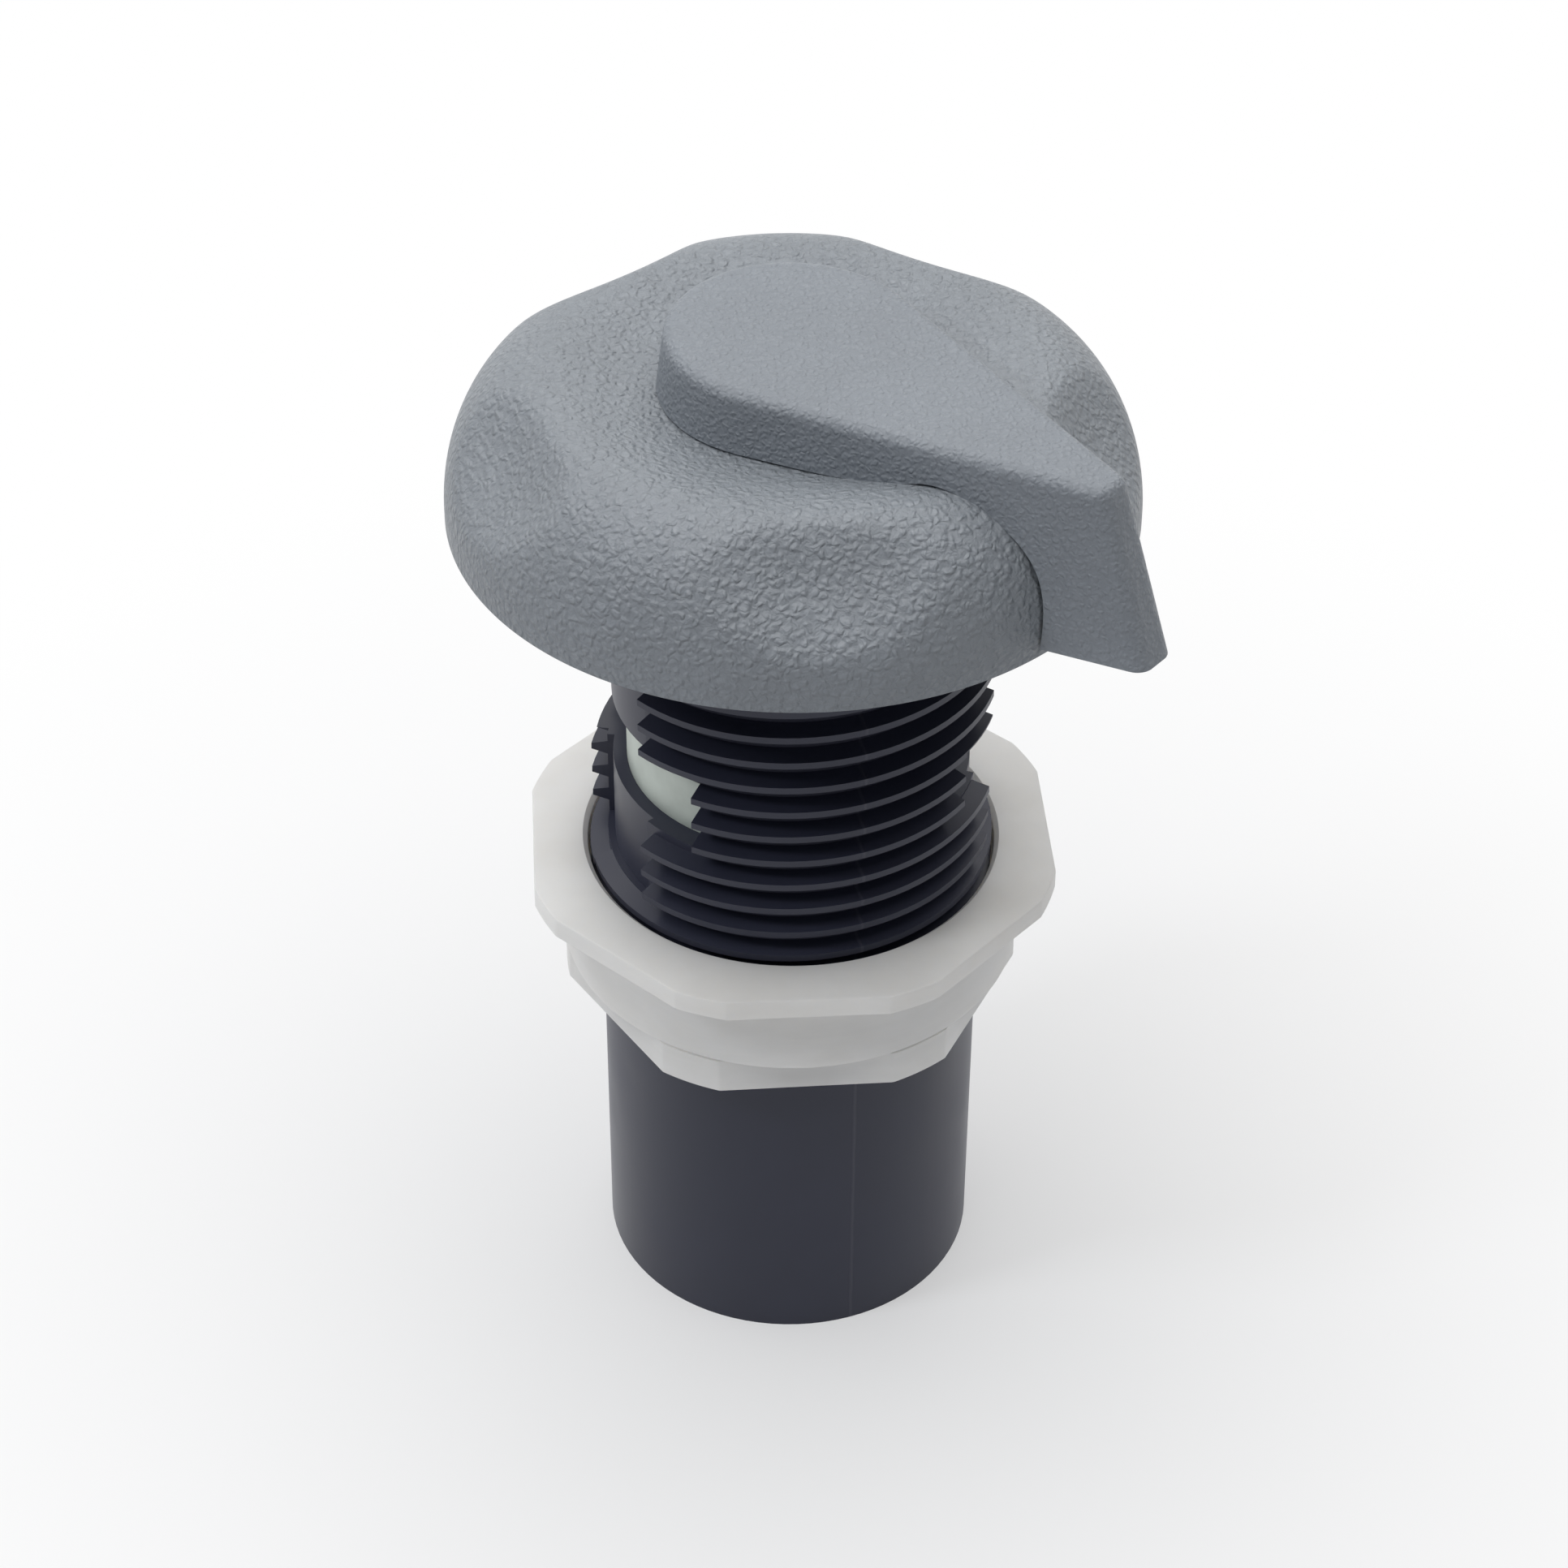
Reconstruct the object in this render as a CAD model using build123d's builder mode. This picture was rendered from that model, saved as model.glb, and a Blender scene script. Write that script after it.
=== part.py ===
from build123d import *
import os
from math import atan2, ceil, cos, degrees, floor, pi, radians, sin, sqrt, tan

os.makedirs("parts", exist_ok=True)

# Air control valve: a threaded shank with two air windows stands through a panel, with a
# scalloped cover and a lever above the panel and a lock nut below it. The lever turns a
# ported sleeve inside the shank. Millimetres and degrees, +Z up, foot of the spigot at z = 0,
# the shank's axis on Z. Angles go round +Z from +X, and the front of the valve is at -Y.

# Spigot and shank
spigot_r = 24.13            # 1.900 in outside, the 1-1/2 in pipe size
spigot_bore_r = 19.0
spigot_length = 46.0        # foot to the lowest turn of the thread
spigot_bore_chamfer = 0.8
shank_length = 72.1         # lowest turn to the underside of the flange
shank_core_r = 23.1
chamber_r = 20.55           # bore that the sleeve turns in
chamber_floor_z = 68.0

# Thread, in two arcs a turn with an air channel between them on each side. The lowest turns
# go all the way round.
thread_pitch = 3.72
thread_crest_r = 25.4
thread_crest_width = 0.9
thread_root_width = 2.1
thread_top_gap = 4.76       # from the gasket down to the middle of the highest turn
thread_front_arc = 120.0
thread_back_arc = 136.0
thread_front_angle = 284.0  # middle of the front arcs
channel_r = 22.2
channel_margin_arc = 3.0    # between a channel's side and the ends of the thread's arcs
channel_floor_z = 66.4

# Air windows in the channels, and the sleeve's ports
window_z = 78.6
window_height = 10.1
window_arc = 88.0
port_arc = 84.0
port_margin = 0.4

# Flange, collar and gasket
flange_inset = 5.6          # the flange's rim inside the cover's
flange_thickness = 3.6
collar_r = 24.8
collar_height = 1.2
gasket_thickness = 3.0

# Sleeve
sleeve_wall = 3.7
sleeve_flange_r = 23.6
sleeve_flange_thickness = 2.4
ring_section = 2.0          # diameter of the O-rings' cord
ring_margin = 5.0           # from the windows to the middle of each O-ring
stem_r = 8.6
stem_square = 11.0          # across the flats, in the lever's socket
stem_chamfer = 0.6
turn_range = 90.0
stop_lug_arc = 16.0
stop_lug_drop = 1.9

# Cover
cover_r = 41.2
cover_wall = 2.4
cover_lift = 0.3            # the edge above the gasket's underside
cover_edge_height = 1.5     # upright part of the edge
crest_r = 28.8
crest_height = 17.9         # above the edge
shoulder_fullness = 0.71    # how far the shoulder stands out between the edge and the crest
well_r = 16.4
well_depth = 1.9            # below the crest
scallop_count = 5
scallop_first_angle = 275.0
scallop_radius = 90.0
scallop_depth = 3.4
scallop_elevation = 44.0
cover_boss_wall = 3.4
cover_rib_thickness = 1.6
cover_rib_seat = 3.0        # how far the ribs stand in over the flange
snap_lug_width = 9.0
snap_lug_height = 1.3
snap_lug_reach = 0.7        # under the flange's rim

# Lever
lever_angle = 320.5
lever_height = 6.5          # top face above the cover's crest, at the back of the hub
lever_fall = 2.2            # of the top face, from the back of the hub to the end
lever_hub_r = 15.0
lever_half_angle = 16.7
lever_draft = 7.0
lever_length = 44.8         # at the top face
lever_end_slope = 19.0
lever_foot_height = 1.3     # finger tab's foot above the cover's edge
lever_wall = 2.3
lever_top_fillet = 1.6
lever_end_fillet = 2.2
lever_rib_count = 2

# Lock nut
nut_z = 45.2
nut_height = 20.0
nut_bore_r = 25.75
nut_plate_flats = 65.2      # across the octagon's flats
nut_plate_corner_r = 34.1
nut_plate_thickness = 3.1
nut_plate_angle = 26.4
nut_skirt_r = 29.0
nut_hexagon_flats = 53.6
nut_hexagon_angle = 34.6
nut_hexagon_height = 5.2
nut_bore_chamfer = 0.6

# Clearances
running = 0.05              # radius, for what turns in a bore
loose = 0.3                 # between faces that pass one another
fitted = 0.05               # between faces of pieces that are fastened together

# Heights and radii worked out from the sizes above
flange_z = spigot_length + shank_length
flange_top_z = flange_z + flange_thickness
collar_top_z = flange_top_z + collar_height
gasket_z = flange_z - gasket_thickness
edge_z = gasket_z + cover_lift
shoulder_z = edge_z + cover_edge_height
crest_z = edge_z + crest_height
well_z = crest_z - well_depth
lever_top_z = crest_z + lever_height
lever_foot_z = edge_z + lever_foot_height
sleeve_flange_z = collar_top_z + loose
sleeve_top_z = sleeve_flange_z + sleeve_flange_thickness
sleeve_r = chamber_r - running
sleeve_bore_r = sleeve_r - sleeve_wall
flange_r = cover_r - flange_inset
snap_lug_r = flange_r - snap_lug_reach
gasket_r = snap_lug_r - loose
stem_top_z = lever_top_z - lever_wall - loose
back_angle = thread_front_angle + 180
channel_arc = (360 - thread_front_arc - thread_back_arc) / 2 - 2 * channel_margin_arc
channel_side = thread_front_arc / 2 + channel_margin_arc + channel_arc / 2
channel_angles = (thread_front_angle - channel_side, thread_front_angle + channel_side)


def turned_plane(height, angle):
    """A level plane at a height, with its x axis turned to an angle about Z."""
    return Plane(
        origin=(0, 0, height),
        x_dir=(cos(radians(angle)), sin(radians(angle)), 0),
        z_dir=(0, 0, 1),
    )


def upright_plane(angle):
    """The plane through Z at an angle: x is the radius and y is the height."""
    return Plane(
        origin=(0, 0, 0),
        x_dir=(cos(radians(angle)), sin(radians(angle)), 0),
        z_dir=(sin(radians(angle)), -cos(radians(angle)), 0),
    )


def wedge(angle, arc, reach):
    """Corners of a wedge from the axis, arc degrees wide about an angle, as far as reach."""
    steps = ceil(arc / 45)
    far = reach / cos(radians(arc / steps / 2))
    turns = [radians(angle - arc / 2 + arc * i / steps) for i in range(steps + 1)]
    return [(0, 0)] + [(far * cos(t), far * sin(t)) for t in turns]


def cover_outline(gap):
    """The cover's outer profile grown by a gap, from the axis out to the edge: x is the radius."""
    Spline(
        (cover_r + gap, shoulder_z),
        (
            crest_r + (cover_r + gap - crest_r) * shoulder_fullness,
            shoulder_z + (crest_z + gap - shoulder_z) * shoulder_fullness,
        ),
        (crest_r, crest_z + gap),
        (well_r, well_z + gap),
        tangents=[(0, 1), (-1, 0)],
    )
    Polyline(
        (well_r, well_z + gap),
        (0, well_z + gap),
        (0, edge_z),
        (cover_r + gap, edge_z),
        (cover_r + gap, shoulder_z),
    )


# Thread arc: a ridge of trapezoid section round part of a turn. Its axis leans by the lead
# angle, so that the arc climbs as the helix does.
ridge_foot_r = (shank_core_r + channel_r) / 2
flank_spread = (thread_root_width - thread_crest_width) / (thread_crest_r - shank_core_r)
ridge_foot_width = thread_root_width + flank_spread * (shank_core_r - ridge_foot_r)
lead_angle = degrees(atan2(thread_pitch, 2 * pi * thread_crest_r))
front_direction = radians(thread_front_angle)
front_axis = Axis((0, 0, 0), (cos(front_direction), sin(front_direction), 0))
thread_ridges = {}
for arc in (thread_front_arc, thread_back_arc, 180):
    with BuildPart() as thread_ridge:
        with BuildSketch(Plane.XZ) as ridge_section:
            with BuildLine():
                Polyline(
                    (ridge_foot_r, -ridge_foot_width / 2),
                    (thread_crest_r, -thread_crest_width / 2),
                    (thread_crest_r, thread_crest_width / 2),
                    (ridge_foot_r, ridge_foot_width / 2),
                    close=True,
                )
            make_face()
        revolve(axis=Axis.Z, revolution_arc=arc)
    level_ridge = thread_ridge.part.rotate(Axis.Z, thread_front_angle - arc / 2)
    thread_ridges[arc] = level_ridge.rotate(front_axis, lead_angle)

# Valve body: spigot, cored shank, channels, thread, windows, flange and collar
with BuildPart() as valve_body:
    with BuildSketch(Plane.XZ) as body_section:
        with BuildLine():
            Polyline(
                (spigot_bore_r + spigot_bore_chamfer, 0),
                (spigot_r, 0),
                (spigot_r, spigot_length),
                (shank_core_r, spigot_length),
                (shank_core_r, flange_z),
                (flange_r, flange_z),
                (flange_r, flange_top_z),
                (collar_r, flange_top_z),
                (collar_r, collar_top_z),
                (chamber_r, collar_top_z),
                (chamber_r, chamber_floor_z),
                (spigot_bore_r, chamber_floor_z),
                (spigot_bore_r, spigot_bore_chamfer),
                close=True,
            )
        make_face()
    revolve(axis=Axis.Z)
    # Air channels down both sides of the shank
    with BuildSketch(Plane.XY.offset(channel_floor_z)) as channels:
        for angle in channel_angles:
            with BuildLine():
                Polyline(*wedge(angle, channel_arc, shank_core_r + 1), close=True)
            make_face()
        Circle(channel_r, mode=Mode.SUBTRACT)
    extrude(amount=gasket_z - channel_floor_z, mode=Mode.SUBTRACT)
    # Thread arcs: each back arc stands half a pitch below a front one
    top_turn_z = gasket_z - thread_top_gap
    turn_count = floor((top_turn_z - spigot_length - thread_root_width) / thread_pitch)
    for turn in range(turn_count):
        front_z = top_turn_z - turn * thread_pitch
        back_z = front_z - thread_pitch / 2
        with Locations((0, 0, front_z)):
            add(thread_ridges[thread_front_arc if front_z > channel_floor_z else 180])
        with Locations(Location((0, 0, back_z), (0, 0, 180))):
            add(thread_ridges[thread_back_arc if back_z > channel_floor_z else 180])
    # Air windows
    with BuildSketch(Plane.XY.offset(window_z)) as windows:
        for angle in channel_angles:
            with BuildLine():
                Polyline(*wedge(angle, window_arc, thread_crest_r + 1), close=True)
            make_face()
    extrude(amount=window_height, mode=Mode.SUBTRACT)
    # Notch that the sleeve's stop lug travels in
    stop_clearance_arc = degrees(loose / collar_r)
    notch_arc = stop_lug_arc + turn_range + 2 * stop_clearance_arc
    notch_angle = lever_angle + turn_range / 2
    with BuildSketch(Plane.XY.offset(collar_top_z)) as stop_notch:
        with BuildLine():
            Polyline(*wedge(notch_angle, notch_arc, collar_r + 1), close=True)
        make_face()
        Circle(chamber_r - 1, mode=Mode.SUBTRACT)
    extrude(amount=-stop_lug_drop - loose, mode=Mode.SUBTRACT)
valve_body.part.label = "valve_body"
export_step(valve_body.part, "parts/valve_body.step")

# Gasket between the flange and the panel
with BuildPart() as flange_gasket:
    with BuildSketch(Plane.XY.offset(gasket_z)):
        Circle(gasket_r)
        Circle(thread_crest_r + loose, mode=Mode.SUBTRACT)
    extrude(amount=gasket_thickness)
flange_gasket.part.label = "flange_gasket"
export_step(flange_gasket.part, "parts/flange_gasket.step")

# Lock nut: octagonal plate on a round skirt, with the flats of a hexagon cut in the skirt's foot
with BuildPart() as lock_nut:
    with BuildSketch(Plane.XY.offset(nut_z + nut_hexagon_height)) as skirt:
        Circle(nut_skirt_r)
    extrude(amount=nut_height - nut_hexagon_height)
    with BuildSketch(turned_plane(nut_z, nut_hexagon_angle)) as hexagon:
        RegularPolygon(nut_hexagon_flats / 2, 6, major_radius=False)
        Circle(nut_skirt_r, mode=Mode.INTERSECT)
    extrude(amount=nut_hexagon_height)
    with BuildSketch(turned_plane(nut_z + nut_height, nut_plate_angle)) as plate:
        RegularPolygon(nut_plate_flats / 2, 8, major_radius=False)
        Circle(nut_plate_corner_r, mode=Mode.INTERSECT)
    extrude(amount=-nut_plate_thickness)
    with Locations((0, 0, nut_z + nut_height)):
        Hole(nut_bore_r)
    chamfer(
        lock_nut.edges().filter_by(GeomType.CIRCLE).filter_by(lambda e: abs(e.radius - nut_bore_r) < 0.01),
        nut_bore_chamfer,
    )
lock_nut.part.label = "lock_nut"
export_step(lock_nut.part, "parts/lock_nut.step")

# Ported sleeve: closed at the top by its flange, with a stem up into the lever
lower_ring_z = window_z - ring_margin
upper_ring_z = window_z + window_height + ring_margin
groove_r = sleeve_r - ring_section
groove_width = ring_section * 1.2
with BuildPart() as air_sleeve:
    with BuildSketch(Plane.XZ) as sleeve_section:
        with BuildLine():
            Polyline(
                (sleeve_bore_r, chamber_floor_z + loose),
                (sleeve_r, chamber_floor_z + loose),
                (sleeve_r, sleeve_flange_z),
                (sleeve_flange_r, sleeve_flange_z),
                (sleeve_flange_r, sleeve_top_z),
                (stem_r, sleeve_top_z),
                (stem_r, well_z + loose),
                (0, well_z + loose),
                (0, sleeve_flange_z - sleeve_flange_thickness),
                (sleeve_bore_r, sleeve_flange_z - sleeve_flange_thickness),
                close=True,
            )
        make_face()
        for ring_z in (lower_ring_z, upper_ring_z):
            with Locations(((groove_r + sleeve_r) / 2 + 1, ring_z)):
                Rectangle(sleeve_r - groove_r + 2, groove_width, mode=Mode.SUBTRACT)
    revolve(axis=Axis.Z)
    # Square head that the lever is pressed on
    with BuildSketch(turned_plane(well_z + loose, lever_angle)) as stem_head:
        Rectangle(stem_square, stem_square)
        Circle(stem_r - loose, mode=Mode.INTERSECT)
    extrude(amount=stem_top_z - well_z - loose)
    chamfer(air_sleeve.edges().group_by(Axis.Z)[-1], stem_chamfer)
    # Ports, a quarter turn from the windows while the valve is shut
    with BuildSketch(Plane.XY.offset(window_z - port_margin)) as ports:
        for angle in (thread_front_angle, back_angle):
            with BuildLine():
                Polyline(*wedge(angle, port_arc, sleeve_r + 1), close=True)
            make_face()
    extrude(amount=window_height + 2 * port_margin, mode=Mode.SUBTRACT)
    # Stop lug under the flange
    with BuildSketch(Plane.XY.offset(sleeve_flange_z)) as stop_lug:
        with BuildLine():
            Polyline(*wedge(lever_angle, stop_lug_arc, sleeve_flange_r), close=True)
        make_face()
        Circle(sleeve_flange_r, mode=Mode.INTERSECT)
        Circle(sleeve_r - 0.5, mode=Mode.SUBTRACT)
    extrude(amount=-stop_lug_drop)
air_sleeve.part.label = "air_sleeve"
export_step(air_sleeve.part, "parts/air_sleeve.step")

# O-rings above and below the ports
for ring_name, ring_z in (("lower_o_ring", lower_ring_z), ("upper_o_ring", upper_ring_z)):
    with BuildPart() as o_ring:
        with Locations((0, 0, ring_z)):
            Torus(sleeve_r - ring_section / 2 + running / 2, ring_section / 2)
    o_ring.part.label = ring_name
    export_step(o_ring.part, f"parts/{ring_name}.step")

# Cover: a domed shell with five finger scallops. The scallops are spheres sunk in the
# shoulder, and the inside follows them at the wall's thickness.
scallop_r = crest_r + (cover_r - crest_r) * cos(radians(scallop_elevation))
scallop_z = shoulder_z + (crest_z - shoulder_z) * sin(radians(scallop_elevation))
scallop_reach = scallop_radius - scallop_depth
scallop_places = [
    Location((
        (scallop_r + scallop_reach * cos(radians(scallop_elevation))) * cos(radians(angle)),
        (scallop_r + scallop_reach * cos(radians(scallop_elevation))) * sin(radians(angle)),
        scallop_z + scallop_reach * sin(radians(scallop_elevation)),
    ))
    for angle in (scallop_first_angle + i * 360 / scallop_count for i in range(scallop_count))
]

# What the cover is hollowed by. It leaves the boss that guides the stem and keeps the sleeve
# down, ribs that stand on the flange, and lugs that snap under the flange's rim.
boss_r = stem_r + running + cover_boss_wall
boss_z = sleeve_top_z + loose
lug_z = flange_z - fitted - snap_lug_height
lobe_angles = [scallop_first_angle + (i + 0.5) * 360 / scallop_count for i in range(scallop_count)]
with BuildPart() as cover_hollow:
    with BuildSketch(upright_plane(lobe_angles[0])) as hollow_section:
        with BuildLine():
            cover_outline(-cover_wall)
        make_face()
    revolve(axis=Axis.Z)
    with Locations(*scallop_places):
        Sphere(scallop_radius + cover_wall, mode=Mode.SUBTRACT)
    with BuildSketch(Plane.XY.offset(boss_z)) as boss:
        Circle(boss_r)
    extrude(amount=crest_height, mode=Mode.SUBTRACT)
    with BuildSketch(Plane.XY.offset(flange_top_z + fitted)) as ribs:
        for angle in lobe_angles:
            with Locations(Location((0, 0, 0), (0, 0, angle))):
                with Locations((cover_r, 0)):
                    Rectangle(2 * (cover_r - flange_r + cover_rib_seat), cover_rib_thickness)
    extrude(amount=crest_height, mode=Mode.SUBTRACT)
    with BuildSketch(Plane.XY.offset(lug_z)) as lugs:
        for angle in lobe_angles:
            with Locations(Location((0, 0, 0), (0, 0, angle))):
                with Locations((cover_r, 0)):
                    Rectangle(2 * (cover_r - snap_lug_r), snap_lug_width)
    extrude(amount=snap_lug_height, mode=Mode.SUBTRACT)

with BuildPart() as escutcheon_cover:
    with BuildSketch(upright_plane(lobe_angles[0])) as cover_section:
        with BuildLine():
            cover_outline(0)
        make_face()
    revolve(axis=Axis.Z)
    with Locations(*scallop_places):
        Sphere(scallop_radius, mode=Mode.SUBTRACT)
    add(cover_hollow.part, mode=Mode.SUBTRACT)
    with Locations((0, 0, well_z)):
        Hole(stem_r + running)
escutcheon_cover.part.label = "escutcheon_cover"
export_step(escutcheon_cover.part, "parts/escutcheon_cover.step")


def lever_outline(height, inset):
    """The lever's outline at a height, inset by a wall: a round hub with straight sides drawn
    in to a flat end. The draft spreads the sides and the slope carries the end outwards."""
    drop = lever_top_z - height
    half_angle = radians(lever_half_angle)
    hub_r = lever_hub_r + drop * tan(radians(lever_draft)) - inset
    length = lever_length + drop * tan(radians(lever_end_slope)) - inset
    hub_x, hub_y = hub_r * sin(half_angle), hub_r * cos(half_angle)
    end_y = (hub_r - length * sin(half_angle)) / cos(half_angle)
    ThreePointArc((hub_x, hub_y), (-hub_r, 0), (hub_x, -hub_y))
    Polyline((hub_x, -hub_y), (length, -end_y), (length, end_y), (hub_x, hub_y))


def lever_fall_outline(depth):
    """What the fall of the lever's top face takes off, this far below the face: x is the radius."""
    back, end = -2 * lever_hub_r, 2 * lever_length
    slope = lever_fall / (lever_length + lever_hub_r)
    Polyline(
        (back, lever_top_z + crest_height),
        (back, lever_top_z - depth + (-lever_hub_r - back) * slope),
        (end, lever_top_z - depth - (end + lever_hub_r) * slope),
        (end, lever_top_z + crest_height),
        close=True,
    )


# What the lever is cored by: it leaves the stem's socket and cross ribs
socket_wall_r = stem_square / sqrt(2) + lever_wall * 0.7
rib_span = lever_length - lever_wall - socket_wall_r
with BuildPart() as lever_core:
    for height in (lever_top_z - lever_wall, lever_foot_z - 1):
        with BuildSketch(turned_plane(height, lever_angle)):
            with BuildLine():
                lever_outline(height, lever_wall)
            make_face()
    loft(ruled=True)
    with BuildSketch(upright_plane(lever_angle)) as core_fall:
        with BuildLine():
            lever_fall_outline(lever_wall)
        make_face()
    extrude(amount=2 * lever_hub_r, both=True, mode=Mode.SUBTRACT)
    with BuildSketch(turned_plane(lever_foot_z - 1, lever_angle)):
        Circle(socket_wall_r)
        for i in range(lever_rib_count):
            with Locations((socket_wall_r + rib_span * (i + 1) / (lever_rib_count + 1), 0)):
                Rectangle(lever_wall * 0.6, 3 * lever_hub_r)
    extrude(amount=lever_top_z, mode=Mode.SUBTRACT)

# Space that the lever leaves for the cover as it goes round
with BuildPart() as cover_space:
    with BuildSketch(upright_plane(lobe_angles[0])) as space_section:
        with BuildLine():
            cover_outline(loose)
        make_face()
    revolve(axis=Axis.Z)

# Lever: a teardrop whose end comes down outside the cover's edge as a finger tab
with BuildPart() as lever:
    for height in (lever_top_z, lever_foot_z):
        with BuildSketch(turned_plane(height, lever_angle)):
            with BuildLine():
                lever_outline(height, 0)
            make_face()
    loft(ruled=True)
    with BuildSketch(upright_plane(lever_angle)) as fall:
        with BuildLine():
            lever_fall_outline(0)
        make_face()
    extrude(amount=2 * lever_hub_r, both=True, mode=Mode.SUBTRACT)
    lever_direction = (cos(radians(lever_angle)), sin(radians(lever_angle)), 0)
    end_face = lever.faces().sort_by(Axis((0, 0, 0), lever_direction))[-1]
    fillet(end_face.edges().sort_by(Axis.Z)[1:3], lever_end_fillet)
    fillet(lever.faces().sort_by(Axis.Z)[-1].edges(), lever_top_fillet)
    add(cover_space.part, mode=Mode.SUBTRACT)
    add(lever_core.part, mode=Mode.SUBTRACT)
    with BuildSketch(turned_plane(stem_top_z + loose, lever_angle)):
        Rectangle(stem_square + 2 * fitted, stem_square + 2 * fitted)
    extrude(amount=-lever_height - well_depth, mode=Mode.SUBTRACT)
lever.part.label = "lever"
export_step(lever.part, "parts/lever.step")
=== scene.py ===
import math

import bpy
import numpy as np
from mathutils import Matrix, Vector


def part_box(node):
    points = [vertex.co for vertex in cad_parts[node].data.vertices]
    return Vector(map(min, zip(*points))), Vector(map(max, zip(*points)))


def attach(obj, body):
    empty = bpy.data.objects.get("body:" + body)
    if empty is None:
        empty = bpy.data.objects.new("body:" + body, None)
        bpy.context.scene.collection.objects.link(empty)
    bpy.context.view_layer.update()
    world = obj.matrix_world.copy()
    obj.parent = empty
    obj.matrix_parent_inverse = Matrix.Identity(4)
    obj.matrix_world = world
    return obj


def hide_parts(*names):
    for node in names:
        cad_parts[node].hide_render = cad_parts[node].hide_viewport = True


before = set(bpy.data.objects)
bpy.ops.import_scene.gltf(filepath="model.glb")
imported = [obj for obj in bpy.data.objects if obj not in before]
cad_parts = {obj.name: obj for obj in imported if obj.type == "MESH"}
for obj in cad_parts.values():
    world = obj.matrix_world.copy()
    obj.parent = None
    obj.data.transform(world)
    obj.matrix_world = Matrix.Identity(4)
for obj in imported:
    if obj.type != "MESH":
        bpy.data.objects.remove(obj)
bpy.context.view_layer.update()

bl_info = {
    "name": "Air control valve",
    "version": (1, 0, 0),
    "blender": (4, 5, 0),
    "location": "3D View > Sidebar > Valve",
    "description": "Finishes the packed air control valve: cover, lever, body, lock nut, sleeve and stage",
    "category": "Object",
}

MM = 0.001


# Sizes and colours

class CoverSettings(bpy.types.PropertyGroup):
    """Sizes and colour of the cover."""
    crest_radius: bpy.props.FloatProperty(
        name="Crest radius", description="Radius of the dome's highest ring", default=28.8 * MM, unit="LENGTH")
    well_radius: bpy.props.FloatProperty(
        name="Well radius", description="Radius of the flat that the lever's hub stands over",
        default=16.4 * MM, unit="LENGTH")
    well_depth: bpy.props.FloatProperty(
        name="Well depth", description="Depth of that flat below the crest", default=1.9 * MM, unit="LENGTH")
    edge_height: bpy.props.FloatProperty(
        name="Edge height", description="Height of the upright part of the edge", default=1.5 * MM, unit="LENGTH")
    wall: bpy.props.FloatProperty(
        name="Wall", description="Thickness of the cover's wall", default=2.4 * MM, unit="LENGTH")
    scallop_count: bpy.props.IntProperty(
        name="Scallops", description="Number of finger scallops", default=5, min=1)
    scallop_first: bpy.props.FloatProperty(
        name="First scallop", description="Angle of the first scallop about the valve's axis",
        default=math.radians(275), subtype="ANGLE")
    scallop_radius: bpy.props.FloatProperty(
        name="Scallop radius", description="Radius of the sphere that a scallop is cut by",
        default=56 * MM, unit="LENGTH")
    scallop_depth: bpy.props.FloatProperty(
        name="Scallop depth", description="Depth of a scallop at its middle", default=2.9 * MM, unit="LENGTH")
    scallop_elevation: bpy.props.FloatProperty(
        name="Scallop elevation", description="Where a scallop stands on the shoulder, from edge to crest",
        default=math.radians(44), subtype="ANGLE")
    scallop_softness: bpy.props.FloatProperty(
        name="Scallop softness", description="Width over which a scallop's rim is rounded",
        default=0.7 * MM, unit="LENGTH")
    stem_radius: bpy.props.FloatProperty(
        name="Stem hole radius", description="Radius of the hole that the stem comes through",
        default=8.65 * MM, unit="LENGTH")
    colour: bpy.props.FloatVectorProperty(
        name="Colour", description="Colour of the cover's plastic", subtype="COLOR", size=3,
        min=0, max=1, default=(0.232, 0.254, 0.282))
    grain: bpy.props.FloatProperty(
        name="Grain", description="Width of a wrinkle of the leather grain", default=0.85 * MM, unit="LENGTH")


class NutSettings(bpy.types.PropertyGroup):
    """Sizes of the lock nut."""
    plate_flats: bpy.props.FloatProperty(
        name="Plate", description="Width of the octagonal plate across its flats",
        default=65.2 * MM, unit="LENGTH")
    plate_corner: bpy.props.FloatProperty(
        name="Plate corners", description="Radius of the circle that cuts the plate's corners",
        default=34.1 * MM, unit="LENGTH")
    plate_thickness: bpy.props.FloatProperty(
        name="Plate thickness", description="Thickness of the plate", default=3.1 * MM, unit="LENGTH")
    plate_angle: bpy.props.FloatProperty(
        name="Plate angle", description="Angle of the middle of one of the plate's flats",
        default=math.radians(3.9), subtype="ANGLE")
    skirt_radius: bpy.props.FloatProperty(
        name="Skirt radius", description="Radius of the round skirt", default=29.0 * MM, unit="LENGTH")
    hexagon_flats: bpy.props.FloatProperty(
        name="Hexagon", description="Width of the hexagon across its flats",
        default=53.6 * MM, unit="LENGTH")
    hexagon_angle: bpy.props.FloatProperty(
        name="Hexagon angle", description="Angle of the middle of one of the hexagon's flats",
        default=math.radians(34.6), subtype="ANGLE")
    hexagon_height: bpy.props.FloatProperty(
        name="Hexagon height", description="Height of the hexagon below the skirt",
        default=5.2 * MM, unit="LENGTH")
    bore_radius: bpy.props.FloatProperty(
        name="Bore radius", description="Radius of the bore", default=25.75 * MM, unit="LENGTH")
    bore_chamfer: bpy.props.FloatProperty(
        name="Bore chamfer", description="Chamfer at the bore's ends", default=0.6 * MM, unit="LENGTH")
    edge_softness: bpy.props.FloatProperty(
        name="Edge softness", description="Width of the rounding on the moulded edges",
        default=0.4 * MM, unit="LENGTH")


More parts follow.
